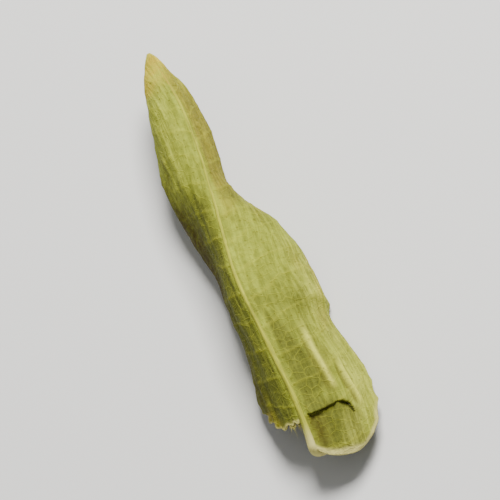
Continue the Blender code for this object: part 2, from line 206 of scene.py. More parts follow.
class LeafSizes(PropertyGroup):
    """Sizes of the leaf that a user would change."""

    blade_length: FloatProperty(
        name="Blade length", description="Length of the flat blade along its midrib",
        default=0.0413, min=0.02, max=0.06, **LENGTH)
    blade_width: FloatProperty(
        name="Blade width", description="Width of the flat blade at its widest",
        default=0.0164, min=0.008, max=0.03, **LENGTH)
    thickness: FloatProperty(
        name="Thickness", description="Thickness of the dried blade between its veins",
        default=0.00030, min=0.0001, max=0.0008, **LENGTH)
    side_veins: IntProperty(
        name="Side veins", description="Side veins of each half", default=15, min=6, max=24)
    vein_height: FloatProperty(
        name="Vein height", description="How far a side vein stands out of the underside",
        default=0.00005, min=0.0, max=0.0003, **LENGTH)
    rib_height: FloatProperty(
        name="Midrib height", description="How far the midrib stands out at the base",
        default=0.00032, min=0.0, max=0.001, **LENGTH)
    rib_width: FloatProperty(
        name="Midrib half-width", description="Half the midrib's width at the base",
        default=0.00031, min=0.0001, max=0.001, **LENGTH)
    stalk_length: FloatProperty(
        name="Stalk length", description="Length of the short stalk below the blade",
        default=0.0015, min=0.0005, max=0.006, **LENGTH)
    stalk_radius: FloatProperty(
        name="Stalk radius", description="Radius of the short stalk",
        default=0.00042, min=0.0002, max=0.001, **LENGTH)
    wrinkles: FloatProperty(
        name="Wrinkles", description="Strength of the wrinkles from drying", default=1.0, min=0.0, max=3.0)


class LeafColours(PropertyGroup):
    """Colours of the dried leaf, as linear values."""

    pale: FloatVectorProperty(
        name="Pale underside", description="Lightest grey-green of the underside",
        default=(0.335, 0.383, 0.040), **TINT)
    # Olive's darkness is partly painted shade: the masks lay it in the valley, the lobe, its hollow, the furrows and
    # the left strip.
    olive: FloatVectorProperty(
        name="Olive underside", description="Yellow olive in the underside's hollows",
        default=(0.130, 0.142, 0.021), **TINT)
    straw: FloatVectorProperty(
        name="Straw", description="Tan of the tip and of the dried margins", default=(0.50, 0.37, 0.032), **TINT)
    # Also laid as the painted highlight on the right half and on the left half's upper part.
    bleached: FloatVectorProperty(
        name="Bleached rim", description="Bleached rim and torn edges", default=(0.47, 0.48, 0.085), **TINT)
    # Also laid as painted shade: round the tear, in the lobe's hollow, in the furrows and along the left margin.
    brown: FloatVectorProperty(
        name="Brown", description="Brown of bruised margins and of dots", default=(0.050, 0.030, 0.005), **TINT)
    vein: FloatVectorProperty(
        name="Veins", description="Yellow of the midrib and the side veins", default=(0.47, 0.48, 0.040), **TINT)
    # Partly painted highlight: the lobe's rim and the midrib's foot are lightened as if lit.
    cream: FloatVectorProperty(
        name="Cream rim", description="Cream of the thick rim round the lobe and of the stalk's foot",
        default=(0.62, 0.56, 0.21), **TINT)
    # Painted highlight: a light colour laid on the sharp creases' crests, where they catch the light.
    crest: FloatVectorProperty(
        name="Highlit crest", description="Highlit, bleached crests of the sharp creases",
        default=(0.66, 0.67, 0.100), **TINT)
    upper: FloatVectorProperty(
        name="Upper side", description="Olive green of the upper side", default=(0.115, 0.128, 0.028), **TINT)
    upper_dark: FloatVectorProperty(
        name="Upper side, dark", description="Darkest green of the upper side",
        default=(0.048, 0.058, 0.016), **TINT)
    floor: FloatVectorProperty(
        name="Floor", description="Pale surface that the leaf lies on", default=(0.80, 0.80, 0.79), **TINT)


class LeafStage(PropertyGroup):
    """Camera and lights."""

    camera_distance: FloatProperty(
        name="Camera distance", description="From the camera to the middle of the leaf",
        default=0.6, min=0.1, max=2.0, **LENGTH)
    frame_height: FloatProperty(
        name="Frame height", description="Height of the picture at the leaf",
        default=0.0415, min=0.01, max=0.5, **LENGTH)
    key_power: FloatProperty(
        name="Key light", description="Power of the key light", default=2.7, min=0, max=50, unit="POWER")
    fill_power: FloatProperty(
        name="Fill light", description="Power of the fill light", default=0.10, min=0, max=50, unit="POWER")
    sky: FloatProperty(
        name="Sky", description="Brightness of the plain surroundings", default=0.23, min=0, max=5)


# --- The leaf's form ---

def table(share, pairs):
    """Reads a table with a smooth curve through its pairs that never overshoots them."""
    places, values = np.array(pairs, float).T
    gaps = np.diff(places)
    rates = np.diff(values) / gaps
    slopes = np.concatenate([rates[:1], np.zeros(len(rates) - 1), rates[-1:]])
    rising = rates[:-1] * rates[1:] > 0
    inner = 2 * rates[:-1] * rates[1:] / np.where(rising, rates[:-1] + rates[1:], 1)
    slopes[1:-1] = np.where(rising, inner, 0)
    i = np.clip(np.searchsorted(places, share, side="right") - 1, 0, len(gaps) - 1)
    t = np.clip((share - places[i]) / gaps[i], 0, 1)
    start = (1 + 2 * t) * (1 - t) ** 2 * values[i] + t * (1 - t) ** 2 * gaps[i] * slopes[i]
    end = t * t * (3 - 2 * t) * values[i + 1] - t * t * (1 - t) * gaps[i] * slopes[i + 1]
    return start + end


def ease(value, low, high):
    """Rises smoothly from 0 at low to 1 at high: three times the square less twice the cube of the way."""
    t = np.clip((value - low) / (high - low), 0, 1)
    return t * t * (3 - 2 * t)


def bell(value, middle, spread):
    """A bell curve: e to the power of minus the square of the distance from its middle over its spread."""
    return np.exp(-(((value - middle) / spread) ** 2))


def noise(x, y, seed):
    """Smooth noise from -1 to 1: random numbers on a square lattice, blended by the eased place between them."""
    lattice = np.random.default_rng(seed).uniform(-1, 1, (64, 64))
    i, j = np.floor(x).astype(int), np.floor(y).astype(int)
    u, v = ease(x - i, 0, 1), ease(y - j, 0, 1)
    i, j, k, m = i % 64, j % 64, (i + 1) % 64, (j + 1) % 64
    near = lattice[i, j] * (1 - u) + lattice[k, j] * u
    far = lattice[i, m] * (1 - u) + lattice[k, m] * u
    return near * (1 - v) + far * v


def crinkle(x, y, seed, layers=3):
    """Sum of layers of noise, each twice as fine and half as strong as the one before."""
    return sum(noise(x * 2**k, y * 2**k, seed + k) / 2**k for k in range(layers))


def unit(vectors):
    """Vectors of length 1."""
    return vectors / np.linalg.norm(vectors, axis=-1, keepdims=True)


class LeafForm:
    """The leaf as a surface over two parameters: the share of the way along the midrib where a side vein starts, and
    the part of the way out along that vein. Everything is in millimetres."""

    def __init__(self, sizes):
        for name in ("thickness", "vein_height", "rib_height", "rib_width", "stalk_length", "stalk_radius"):
            setattr(self, name, getattr(sizes, name) / MM)
        self.length = sizes.blade_length / MM
        self.veins, self.wrinkles = sizes.side_veins, sizes.wrinkles
        self.half = {side: HALF_SHARE[side] * (sizes.blade_width / MM) for side in (LEFT, RIGHT)}
        self.spine = self.make_spine()

    def half_width(self, share, side):
        """Width of one half, which rises in a curve from where it starts and falls in another to the tip."""
        start, widest = STARTS_AT[side], WIDEST_AT[side]
        before = np.clip((widest - share) / (widest - start), 0, 1)
        after = np.clip((share - widest) / (1 - widest), 0, 1)
        rise = (1 - before ** BASE_POWERS[side][0]) ** BASE_POWERS[side][1]
        fall = (1 - after ** TIP_POWERS[side][0]) ** TIP_POWERS[side][1]
        return np.maximum(self.half[side] * rise * fall, LEAST_WIDTH)

    def margin_width(self, share, side):
        """Half-width out to the margin: less a forward-leaning tooth for each half vein, bell-shaped nicks and a
        little noise."""
        width = self.half_width(share, side)
        along = self.length * share
        phase = share * self.veins * 2 + TOOTH_WANDER * noise(along * 0.5, side, 11)
        tooth = 0.5 - 0.5 * np.cos(2 * np.pi * (phase + TOOTH_LEAN * np.sin(2 * np.pi * phase)))
        depth = TOOTH_DEPTH * (1 + TOOTH_VARIES * noise(along * 0.8, side, 12))
        loss = depth * tooth * np.clip(width / TOOTHED_FROM_WIDTH, 0, 1)
        loss = loss + RAGGED * (1 + crinkle(along * 2.2, side, 13)) * np.clip(width / 2, 0, 1)
        for nick_side, place, depth, spread in NICKS:
            if nick_side == side:
                loss = loss + depth * bell(along, place, spread)
        return width - np.clip(loss, 0, NICK_LIMIT * width)

    def flat_place(self, share, out, side):
        """Flat place, along and across, of the point a part of the way out along the vein that starts at a share."""
        start = self.length * share
        sweep = SWEEP[side] * np.sin(np.pi * share) ** SWEEP_SPREAD * out**SWEEP_CURVE
        across = self.margin_width(share, side) * out
        if side == RIGHT:
            lobe = LOBE_LENGTH * np.exp(-start / LOBE_REACH) * (1 - np.exp(-across / LOBE_ROUND))
            return start + sweep - lobe, across
        torn_from = STARTS_AT[LEFT] * self.length
        fading = np.exp(-np.maximum(start - torn_from, 0) / JAG_REACH) * ease(across, 0.1, 0.6)
        jags = JAG_LENGTH * (0.2 + crinkle(across * 1.35, 0.5, 17)) * fading
        return start + sweep - jags, across

    def make_spine(self):
        """Places along the midrib, with its points and its sideways and upward directions there."""
        places = np.arange(SPINE_START, self.length + SPINE_STEP, SPINE_STEP)
        slope = np.radians(table(places / self.length, MIDRIB_SLOPE))
        turn = np.radians(table(places / self.length, MIDRIB_TURN))
        ahead = np.stack([np.cos(slope) * np.sin(turn), np.cos(slope) * np.cos(turn), np.sin(slope)], axis=1)
        points = np.concatenate([np.zeros((1, 3)), np.cumsum((ahead[1:] + ahead[:-1]) / 2 * SPINE_STEP, axis=0)])
        points -= self.at_place(places, points, np.zeros(1))[0]
        sideways = np.stack([np.cos(turn), -np.sin(turn), np.zeros_like(turn)], axis=1)
        return places, points, sideways, np.cross(sideways, ahead)

    @staticmethod
    def at_place(places, values, wanted):
        """Reads a list of points or directions along the midrib at the wanted places."""
        return np.stack([np.interp(wanted, places, values[:, k]) for k in range(3)], axis=-1)

    @staticmethod
    def crease_distance(share):
        """Distance from the midrib of the right half's soft crease, and how strong it is, at a share."""
        part = np.clip((share - CREASE_SHARES[0]) / (CREASE_SHARES[1] - CREASE_SHARES[0]), 0, 1)
        distance = CREASE_DISTANCES[0] + (CREASE_DISTANCES[1] - CREASE_DISTANCES[0]) * part
        return distance, np.sin(np.pi * part) ** CREASE_SPREAD

    def folded(self, along, across, side):
        """How far sideways and up a flat point moves as its half is bent: sums of its slopes' sines and cosines."""
        share = np.clip(along / self.length, -0.05, 1.0)
        at_rib = table(share, SLOPE_AT_RIB[side])[..., None]
        at_margin = table(share, SLOPE_AT_MARGIN[side])[..., None]
        power = table(share, CURL_POWER[side])[..., None]
        crest = (at_rib - table(share, SLOPE_AT_RIB[-side])[..., None]) / 2
        reach = self.half_width(np.clip(share, CURL_FROM, CURL_TO), side)[..., None]
        distance = across[..., None] * (np.arange(BEND_STEPS) + 0.5) / BEND_STEPS
        slope = at_rib + (at_margin - at_rib) * np.clip(distance / reach, 0, CURL_BEYOND) ** power
        if side == RIGHT:
            crease, strength = self.crease_distance(share[..., None])
            past = 1 / (1 + np.exp(-(distance - crease) / CREASE_WIDTH))
            dip = -np.cos(np.pi * np.clip(distance / crease, 0, 1)) * CREASE_DIP * (1 - past)
            slope = slope + strength * (dip - CREASE_TURN * past)
        slope = slope + (crest - at_rib) * np.exp(-((distance / FOLD_RADIUS[side]) ** 2))
        slope = np.radians(slope)
        wave = np.sin(2 * np.pi * along / WAVE_LENGTH + WAVE_PHASE[side])
        up = np.sin(slope).mean(-1) * across + WAVE_HEIGHT * (across / self.half[side]) ** 2 * wave
        shift = table(share, CREST_SHIFT) * np.exp(-((across / CREST_REACH) ** 2))
        return side * np.cos(slope).mean(-1) * across + shift, up

    def shaped(self, along, across, side):
        """Points of one half of the folded middle surface from their flat places."""
        places, points, sideways, upward = self.spine
        aside, up = self.folded(along, across, side)
        sheet = self.at_place(places, points, along) + aside[..., None] * self.at_place(places, sideways, along)
        return sheet + up[..., None] * self.at_place(places, upward, along)

    def half_sheet(self, along, across, side):
        """Middle surface of one half with the unit directions ahead, out and square to it, from small steps on it."""
        sheet = self.shaped(along, across, side)
        further = self.shaped(along, across + SMALL_STEP, side) - sheet
        ahead = sheet - self.shaped(along - SMALL_STEP, across, side)
        return sheet, unit(ahead), unit(further), unit(side * np.cross(further, ahead))

    def edge_distance(self, share, out, side):
        """Distance from the nearest free edge: the margin, the lobe's lower edge or the torn base."""
        margin = self.half_width(share, side) * (1 - out)
        start = (share - (FIRST_SHARE if side == RIGHT else STARTS_AT[LEFT])) * self.length
        return np.minimum(margin, np.where(start < 0, FAR_FROM_EDGE, start))

    def vein_lines(self, share, out, side):
        """Strength of the side veins and, weaker, of one between each two, at a point of the leaf: bell curves about
        lines that start at even shares, waver a little and bend forward to join near the margin."""
        coarse, fine = VEIN_WANDER
        wander = coarse * noise(share * 40, out * 3, 23 + side) + fine * noise(share * 90, out * 9, 29 + side)
        phase = share * self.veins + VEIN_START[side] + wander * ease(out, 0, 0.3)
        phase = phase - VEIN_LEAN * out - VEIN_JOIN * ease(out, 0.72, 1.0)
        spacing = self.length / self.veins
        beside = (phase % 1 - 0.5) * spacing
        between = ((phase + 0.5) % 1 - 0.5) * spacing
        main = bell(beside, 0, np.interp(out, (0, 1), VEIN_WIDTHS)) * ease(out, 1.0, 0.9)
        weak = bell(between, 0, WEAK_WIDTH) * ease(out, 0.62, 0.35) * WEAK_STRENGTH
        loop = bell(out, LOOP_AT, LOOP_WIDTH) * LOOP_STRENGTH
        return np.max([main, weak, loop], axis=0) * ease(share, 0.985, 0.93), phase


def line_distance(line, along, across):
    """Distance of flat points from a line of points, how far along the line they are, the side they are on, and the
    unit direction away from the line."""
    line = np.array(line)
    a, d = line[:-1], np.diff(line, axis=0)
    offset = np.stack([along, across], -1)[..., None, :] - a
    t = np.clip((offset * d).sum(-1) / (d * d).sum(-1), 0, 1)
    away = offset - t[..., None] * d
    gap = np.linalg.norm(away, axis=-1)
    nearest = gap.argmin(-1)[..., None]
    turn = d[:, 0] * away[..., 1] - d[:, 1] * away[..., 0]
    gap, t, turn, ahead, aside = (
        np.take_along_axis(values, nearest, -1)[..., 0] for values in (gap, t, turn, away[..., 0], away[..., 1]))
    direction = np.stack([ahead, aside]) / np.maximum(gap, 1e-6)
    return gap, (nearest[..., 0] + t) / len(d), np.sign(turn), direction


def cut_open(along, across):
    """Cells of the right half that the tear takes out, and its flat places with those cells' outer corners moved onto
    the tear's edge. The tear's half-width is read from its table and multiplied by noise."""
    gap, line, _, away = line_distance(TEAR, along, across)
    loss = gap - table(line, TEAR_HALF_WIDTH) * (1 + TEAR_RAGGED * noise(along * 5, across * 5, 53))
    torn_out = loss[:-1, :-1] + loss[1:, :-1] + loss[:-1, 1:] + loss[1:, 1:] < 0
    wide = np.pad(torn_out.astype(int), 1)
    beside = wide[:-1, :-1] + wide[1:, :-1] + wide[:-1, 1:] + wide[1:, 1:]
    shift = np.where((beside > 0) & (beside < 4), -loss, 0)
    return torn_out, along + shift * away[0], across + shift * away[1]


def sharp_creases(along, across):
    """Height of the sharp creases, as a bell curve about each line times the crease's height, how strong they are
    where they lie, which places the painted highlight on their crests, and how strong the furrow is that runs on the
    midrib's side of each, which places painted shade in it."""
    height, crest, furrow = 0, 0, 0
    for points, tall in CREASES:
        gap, line, beyond, _ = line_distance(points, along, across)
        strength = ease(line, 0.0, 0.20) * ease(line, 1.0, 0.65)
        ridge = bell(gap, 0, CREASE_HALF_WIDTH) * strength
        trough = bell(gap, FURROW_BESIDE, FURROW_WIDTH) * (beyond < 0) * strength
        height = height + tall * (ridge - FURROW_DEPTH * trough)
        crest, furrow = np.maximum(crest, ridge * tall / CREASES[0][1]), np.maximum(furrow, trough)
    return height, np.clip(crest, 0, 1), furrow


def blade_grid():
    """The blade's rows and columns: shares from base to tip, crowded near the base, and parts of the way out."""
    place = np.linspace(0, 1, 4000)
    density = 1 + 1.2 * bell(place, 0.07, 0.035) + 3.0 * bell(place, 0.054, 0.006) + 2.5 * bell(place, 0, 0.012)
    density = density + 0.5 * bell(place, 1, 0.03)
    reached = np.concatenate([[0], np.cumsum((density[1:] + density[:-1]) / 2)])
    shares = np.interp(np.linspace(0, 1, ROWS), reached / reached[-1], place)
    shares = FIRST_SHARE + (LAST_SHARE - FIRST_SHARE) * shares
    outs = np.linspace(0, 1, COLUMNS_PER_HALF + 1) ** COLUMN_CROWDING
    return shares, outs


def make_blade(form):
    """Rings of the blade, the cells that the tear takes out, and the masks and flat places of its points.

    The middle surface gets wrinkles square to it: long folds beside the midrib, pillows between the side veins, broad
    dents, fine crinkles and a curled rim. The sharp creases stand out of it, the lobe is hollow beside the midrib, and
    its flap is pushed down and forward under the tear's raised other edge. The outer face stands half a thickness above
    the middle surface plus the veins, and the inner face half a thickness below it with the veins and the midrib
    pressed in."""
    shares, outs = blade_grid()
    share, out = np.meshgrid(shares, outs, indexing="ij")
    halves = []
    for side in (LEFT, RIGHT):
        along, across = form.flat_place(share, out, side)
        if side == RIGHT:
            torn_out, along, across = cut_open(along, across)
        sheet, ahead, further, normal = form.half_sheet(along, across, side)
        vein, phase = form.vein_lines(share, out, side)
        edge = form.edge_distance(share, out, side)
        halves.append((sheet, ahead, further, normal, along, across * side, share, out * side, vein, phase, edge))
    sheet, ahead, further, normal, along, across, share, out, vein, phase, edge = (
        np.concatenate([left[:, :0:-1], right], axis=1) for left, right in zip(*halves))
    torn_out = np.pad(torn_out, ((0, 0), (COLUMNS_PER_HALF, 0)))
    gap, line, below, _ = line_distance(TEAR, along, across)
    creases, crest, furrow = (values * (out > 0) for values in sharp_creases(along, across))
    # The lobe's hollow beside the midrib: a dent, and through the olive and brown masks painted shade in it.
    hollow = bell(across, 1.0, 0.80) * ease(along, 2.8, 2.4) * ease(along, -1.2, 0.6)

    far = np.abs(across)
    from_rib = ease(far, 0.25, 1.1)
    long_folds = LONG_FOLDS * crinkle(across * 0.95 + along * 0.05, along * 0.10, 31, 2) * from_rib
    pillows = -PILLOWS * np.cos(2 * np.pi * phase) * from_rib * ease(np.abs(out), 0.95, 0.7)
    dents = DENTS * noise(along * 0.22, across * 0.30, 37) * from_rib
    fine = CRINKLES * crinkle(along * 1.3, across * 2.2, 41, 3) * (0.3 + 0.7 * from_rib)
    rim_curl = RIM_CURL * ease(edge, 0.45, 0.0) * (0.3 + noise(along * 0.55, across * 0.5, 43))
    ends = ease(share, 1.0, 0.97)
    tear_ends = ease(line, 0.0, 0.10) * ease(line, 1.0, 0.86) * (out > 0)
    tear_ends = tear_ends * (1 - BRIDGE_CLOSES * bell(line, BRIDGE_AT, BRIDGE_SPREAD))
    flap = tear_ends * np.where(below > 0, -FLAP_DOWN * bell(gap, 0, 1.0), FLAP_UP * bell(gap, 0, 0.7))
    sheet = sheet + ahead * (TEAR_OVERLAP * tear_ends * below * bell(gap, 0, 0.5))[..., None]
    lift = form.wrinkles * (long_folds + pillows + dents + fine + rim_curl) * ends
    lift = lift + creases + flap - HOLLOW_DEPTH * hollow

    rib = bell(far, 0, RIB_SPREAD) * (1 - 0.6 * share)
    grain = GRAIN_HEIGHT * crinkle(along * 6, across * 6, 47, 2)
    half = form.thickness / 2 * (1 - 0.5 * bell(edge, 0, 0.13))
    raised = form.vein_height * vein * ease(edge, 0.0, 0.5)
    outer = half + raised * (1 - 0.5 * np.abs(out)) + RIB_OUT * rib + grain
    inner = half - 0.5 * raised - RIB_IN * rib - grain
    outer_face = sheet + normal * (lift + outer)[..., None]
    inner_face = sheet + normal * (lift - inner)[..., None]
    middle = (outer_face + inner_face) / 2
    edges = [(middle[:, k] + MARGIN_ROUND * further[:, k])[:, None] for k in (-1, 0)]
    rings = np.concatenate([outer_face, edges[0], inner_face[:, ::-1], edges[1]], axis=1)

    at = share, out, along, across
    # Painted shadow round the tear: a wide band on the lobe's side, below the raised edge, and a narrow one along the
    # other edge.
    painted_tear_shadow = np.where(below > 0, 0.45 * bell(gap, 0, 0.42), 0.5 * bell(gap, 0, 0.13)) * tear_ends
    bruise = 0.28 * bell(across, 3.9, 0.45) * bell(along, 7.3, 1.1)
    # Cream rim near the base: pale cut tissue, and on the lobe partly painted highlight.
    cream = np.where(out > 0, 0.75 * ease(share, 0.09, 0.03), 0.6 * ease(share, 0.13, 0.07))
    masks = {
        "vein": vein,
        "rim": bell(edge, 0, 0.17) * (0.75 + 0.25 * noise(along * 1.1, across * 1.1, 59)),
        "straw": straw_mask(*at),
        # The crests of the sharp creases, where the crest colour is laid as a painted highlight.
        "ridge": crest,
        "cream": ease(edge, 0.55, 0.12) * cream,
        # Mostly painted highlight, with the pale rims of the lobe and of the torn base.
        "pale": highlight_and_pale_rim_mask(*at, edge),
        # Olive tone and painted shade; the furrows and the lobe's hollow get it as painted shade.
        "olive": strongest(olive_and_shade_mask(*at), 0.95 * furrow, 0.95 * hollow),
        # Bruises and a brown margin, and painted shade: the shadow round the tear, the lobe's hollow and the furrows.
        "brown": strongest(brown_and_shade_mask(*at), painted_tear_shadow, bruise, 0.70 * hollow, 0.30 * furrow),
    }
    return rings, torn_out, masks, across, along


def strongest(*patterns):
    """The strongest of some patterns at each point, kept from 0 to 1."""
    return np.clip(np.max(patterns, axis=0), 0, 1)


def straw_mask(share, out, along, across):
    """Tan: the tip, a tinge on the right side of the upper half, and blotches along the margins."""
    wobble = 0.05 * crinkle(along * 0.45, across * 0.5, 61)
    tip = ease(share + wobble, 0.84, 0.97)
    strip = ease(share + wobble, 0.50, 0.62) * ease(out, 0.0, 0.10) * 0.27
    blotch = ease(crinkle(along * 0.28, across * 0.4, 67), 0.30, 0.95) * ease(np.abs(out), 0.45, 1.0) * 0.45
    return strongest(tip, strip, blotch)


def highlight_and_pale_rim_mask(share, out, along, across, edge):
    """Painted highlight and pale rims: painted highlight as a breath on the right half past its crease, a patch there
    and more near its lower margin, and streaks on the left half's upper part and along its margin there, where these
    catch the light; and the rims of the lobe and of the torn base, paler tissue that on the lobe is partly painted
    highlight."""
    wobble = 0.06 * crinkle(along * 0.35, across * 0.8, 71)
    past = ease(out + wobble, 0.40, 0.70) * ease(share, 0.50, 0.36) * 0.50
    lower = ease(out + wobble, 0.62, 0.85) * bell(share, 0.10, 0.10) * 0.45
    patch = ease(out + wobble, 0.45, 0.65) * bell(share, 0.30, 0.055) * 0.85
    upper = bell(out + wobble, -0.55, 0.28) * ease(share, 0.55, 0.70) * ease(share, 0.98, 0.85) * 0.35
    edging = bell(out + wobble, -0.85, 0.22) * ease(share, 0.74, 0.86) * 0.7
    lobe = ease(edge, 0.55, 0.15) * ease(share, 0.12, 0.04)
    return strongest(past, lower, patch, upper, edging, lobe)


def olive_and_shade_mask(share, out, along, across):
    """Yellow olive, partly the leaf's own tone and partly painted shade: the valley between midrib and soft crease,
    fainter just above the tear, the lobe below the tear and the left half's strip beside the midrib, darkened where
    they turn from the light; the right side of the upper half, and faint patches."""
    wobble = 0.2 * crinkle(along * 0.3, across * 0.9, 73)
    crease, _ = LeafForm.crease_distance(share)
    valley = ease(across + wobble, 0.2, 0.9) * ease(across - crease + wobble, 0.1, -0.7) * ease(share, 0.40, 0.24)
    valley = valley * (1 - 0.45 * bell(along, 3.9, 0.7) * ease(across, 0.8, 1.6))
    lobe = ease(across, 0.3, 1.0) * ease(across + wobble, 4.9, 4.0) * ease(along + wobble, 3.0, 2.3) * 0.95
    lower = ease(out, 0.02, 0.15) * ease(out + wobble, 0.60, 0.35) * ease(share + 0.1 * wobble, 0.42, 0.28) * 0.45
    strip = ease(-across, 0.1, 0.8) * ease(share + 0.3 * wobble, 0.70, 0.50) * 0.9
    upper = ease(share + 0.1 * wobble, 0.50, 0.62) * ease(out, 0.0, 0.10) * ease(share, 0.99, 0.90) * 0.55
    upper = upper + ease(share + 0.1 * wobble, 0.54, 0.62) * ease(share, 0.90, 0.78) * ease(out, 0.02, 0.12) * 0.45
    patches = ease(crinkle(along * 0.22, across * 0.3, 79), 0.0, 0.8) * 0.30
    return strongest(valley, lobe, lower, strip, upper, patches)


def brown_and_shade_mask(share, out, along, across):
    """Brown and painted shade: the left half towards its margin up to two thirds of the leaf, a brown tint that is
    partly painted shade, and small bruises near both margins.
    """
    wobble = 0.12 * crinkle(along * 0.4, across * 0.6, 83)
    margin = ease(-out + wobble, 0.30, 0.80) * ease(share, 0.06, 0.16) * ease(share + 0.5 * wobble, 0.74, 0.57)
    margin = margin * (0.65 + 0.30 * ease(share, 0.25, 0.40))
    bruise = ease(crinkle(along * 0.55, across * 0.7, 89), 0.75, 1.15) * ease(np.abs(out), 0.3, 0.9) * 0.6
    return strongest(margin, bruise)


def settled(points):
    """Turns points into the leaf's resting position, in the CAD's frame, and keeps them on or above the floor."""
    roll, pitch = np.radians(REST_ROLL), np.radians(REST_PITCH)
    about_y = np.array([[np.cos(roll), 0, np.sin(roll)], [0, 1, 0], [-np.sin(roll), 0, np.cos(roll)]])
    about_x = np.array([[1, 0, 0], [0, np.cos(pitch), -np.sin(pitch)], [0, np.sin(pitch), np.cos(pitch)]])
    points = points @ (about_x @ about_y).T + np.array(REST_SHIFT)
    points[..., 2] = np.maximum(points[..., 2], 0)
    return points


# --- Meshes ---

def ring_cells(rows, ring):
    """Corner numbers of the four-sided cells between the rings, in order round each outward face."""
    corner = np.arange(rows * ring).reshape(rows, ring)
    a, b = corner[:-1], corner[1:]
    return np.stack([a, np.roll(a, -1, axis=1), np.roll(b, -1, axis=1), b], axis=-1)


def halves_of(quads):
    """Each four-sided cell as two triangles."""
    quads = quads.reshape(-1, 4)
    return np.concatenate([quads[:, [0, 1, 2]], quads[:, [0, 2, 3]]])


def end_caps(rows, ring):
    """Triangles from the first and the last ring to a middle point for each, numbered after the rings' points."""
    first, last = np.arange(ring), np.arange((rows - 1) * ring, rows * ring)
    caps = []
    for row, middle, turn in ((first, rows * ring, 1), (last, rows * ring + 1, -1)):
        caps.append(np.stack([row, np.full(ring, middle), np.roll(row, -1)][::turn], axis=1))
    return np.concatenate(caps)


def tear_walls(torn_out, rows, ring, columns):
    """Walls between the outer and the inner face along every edge between a cell that is there and one that isn't."""
    corner = np.arange(rows * ring).reshape(rows, ring)
    outer, inner = corner[:, :columns], corner[:, columns + 1:2 * columns + 1][:, ::-1]
    there = ~torn_out
    walls = []

    def add(where, p, q):
        walls.append(np.stack([outer[p][where], outer[q][where], inner[q][where], inner[p][where]], axis=-1))

    low, high, middle = slice(None, -1), slice(1, None), slice(1, -1)
    add(there[:, :-1] & torn_out[:, 1:], (high, middle), (low, middle))
    add(torn_out[:, :-1] & there[:, 1:], (low, middle), (high, middle))
    add(there[:-1] & torn_out[1:], (middle, low), (middle, high))
    add(torn_out[:-1] & there[1:], (middle, high), (middle, low))
    return np.concatenate(walls)


def base_wall(columns):
    """Triangles that close the blade's first ring across its thickness, from the left margin to the right one."""
    left, right = 2 * columns + 1, columns
    over = np.concatenate([[left], np.arange(columns), [right]])
    under = np.concatenate([[left], np.arange(2 * columns, columns, -1), [right]])
    first = np.stack([over[1:], over[:-1], under[:-1]], axis=1)[1:]
    second = np.stack([over[1:], under[:-1], under[1:]], axis=1)[:-1]
    return np.concatenate([first, second])


def outward(points, triangles):
    """Turns the triangles round if they enclose a negative volume."""
    a, b, c = (points[triangles[:, k]] for k in range(3))
    volume = np.einsum("ij,ij->i", a, np.cross(b, c)).sum()
    return triangles if volume > 0 else triangles[:, ::-1]


def new_object(name, data):
    """A new object in the scene."""
    made = bpy.data.objects.new(name, data)
    bpy.context.scene.collection.objects.link(made)
    return made


def add_piece(name, points, triangles, materials, uv, face_material=None, masks=None):
    """Makes a smooth mesh object from points in millimetres, with its masks as attributes and one UV map."""
    mesh = bpy.data.meshes.new(name)
    mesh.vertices.add(len(points))
    mesh.vertices.foreach_set("co", (points * MM).astype(np.float32).ravel())
    mesh.loops.add(triangles.size)
    mesh.loops.foreach_set("vertex_index", triangles.astype(np.int32).ravel())
    mesh.polygons.add(len(triangles))
    mesh.polygons.foreach_set("loop_start", np.arange(0, triangles.size, 3, dtype=np.int32))
    for material in materials:
        mesh.materials.append(material)
    if face_material is not None:
        mesh.polygons.foreach_set("material_index", face_material.astype(np.int32))
    mesh.update(calc_edges=True)
    for mask, values in (masks or {}).items():
        layer = mesh.attributes.new(mask, "FLOAT", "POINT")
        layer.data.foreach_set("value", values.astype(np.float32).ravel())
    layer = mesh.uv_layers.new(name="flat_leaf")
    layer.data.foreach_set("uv", uv.astype(np.float32).ravel())
    mesh.shade_smooth()
    if mesh.validate():
        raise RuntimeError(name + " has faulty faces")
    piece = new_object(name, mesh)
    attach(piece, "root")
    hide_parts(NODE)


def flat_uv(across, along):
    """Place on the UV map of a place on the flat leaf: both run upwards from the base's place."""
    return across / UV_SPAN + UV_START[0], along / UV_SPAN + UV_START[1]


def blade_mesh(form):
    """Points, triangles, materials of the faces, masks and UV of the blade."""
    rings, torn_out, masks, across, along = make_blade(form)
    rows, ring = rings.shape[:2]
    columns = ring // 2 - 1
    cells = ring_cells(rows, ring)
    keep = np.ones(cells.shape[:2], bool)
    keep[:, :columns - 1] = ~torn_out
    keep[:, columns + 1:2 * columns] = ~torn_out[:, ::-1]
    underneath = np.zeros(cells.shape[:2], bool)
    underneath[:, columns + 1:2 * columns] = True
    walls = halves_of(tear_walls(torn_out, rows, ring, columns))
    ends = np.concatenate([base_wall(columns), end_caps(rows, ring)[ring:]])
    triangles = np.concatenate([halves_of(cells[keep]), walls, ends])
    inner = np.concatenate([np.tile(underneath[keep], 2), np.zeros(len(walls) + len(ends), bool)])
    points = np.concatenate([rings.reshape(-1, 3), rings[-1].mean(0)[None]])
    triangles = np.where(triangles == rows * ring + 1, rows * ring, triangles)

    def around(values, edge=None):
        """Spreads values of the sheet over the whole ring, with the margins' own values between the faces."""
        right, left = (np.full_like(side, edge) if edge else side for side in (values[:, -1:], values[:, :1]))
        whole = np.concatenate([values, right, values[:, ::-1], left], axis=1).ravel()
        return np.concatenate([whole, whole[-1:]])

    masks = {name: around(values, 1.0 if name == "rim" else None) for name, values in masks.items()}
    u, v = flat_uv(around(across), around(along))
    uv = np.stack([u[triangles] + INNER_SHIFT * inner[:, None], v[triangles]], axis=-1)
    if outward(points, triangles) is not triangles:
        raise RuntimeError("the blade is inside out")
    return settled(points), triangles, inner, masks, uv


# --- Materials ---

FLOAT, VECTOR = "NodeSocketFloat", "NodeSocketVector"


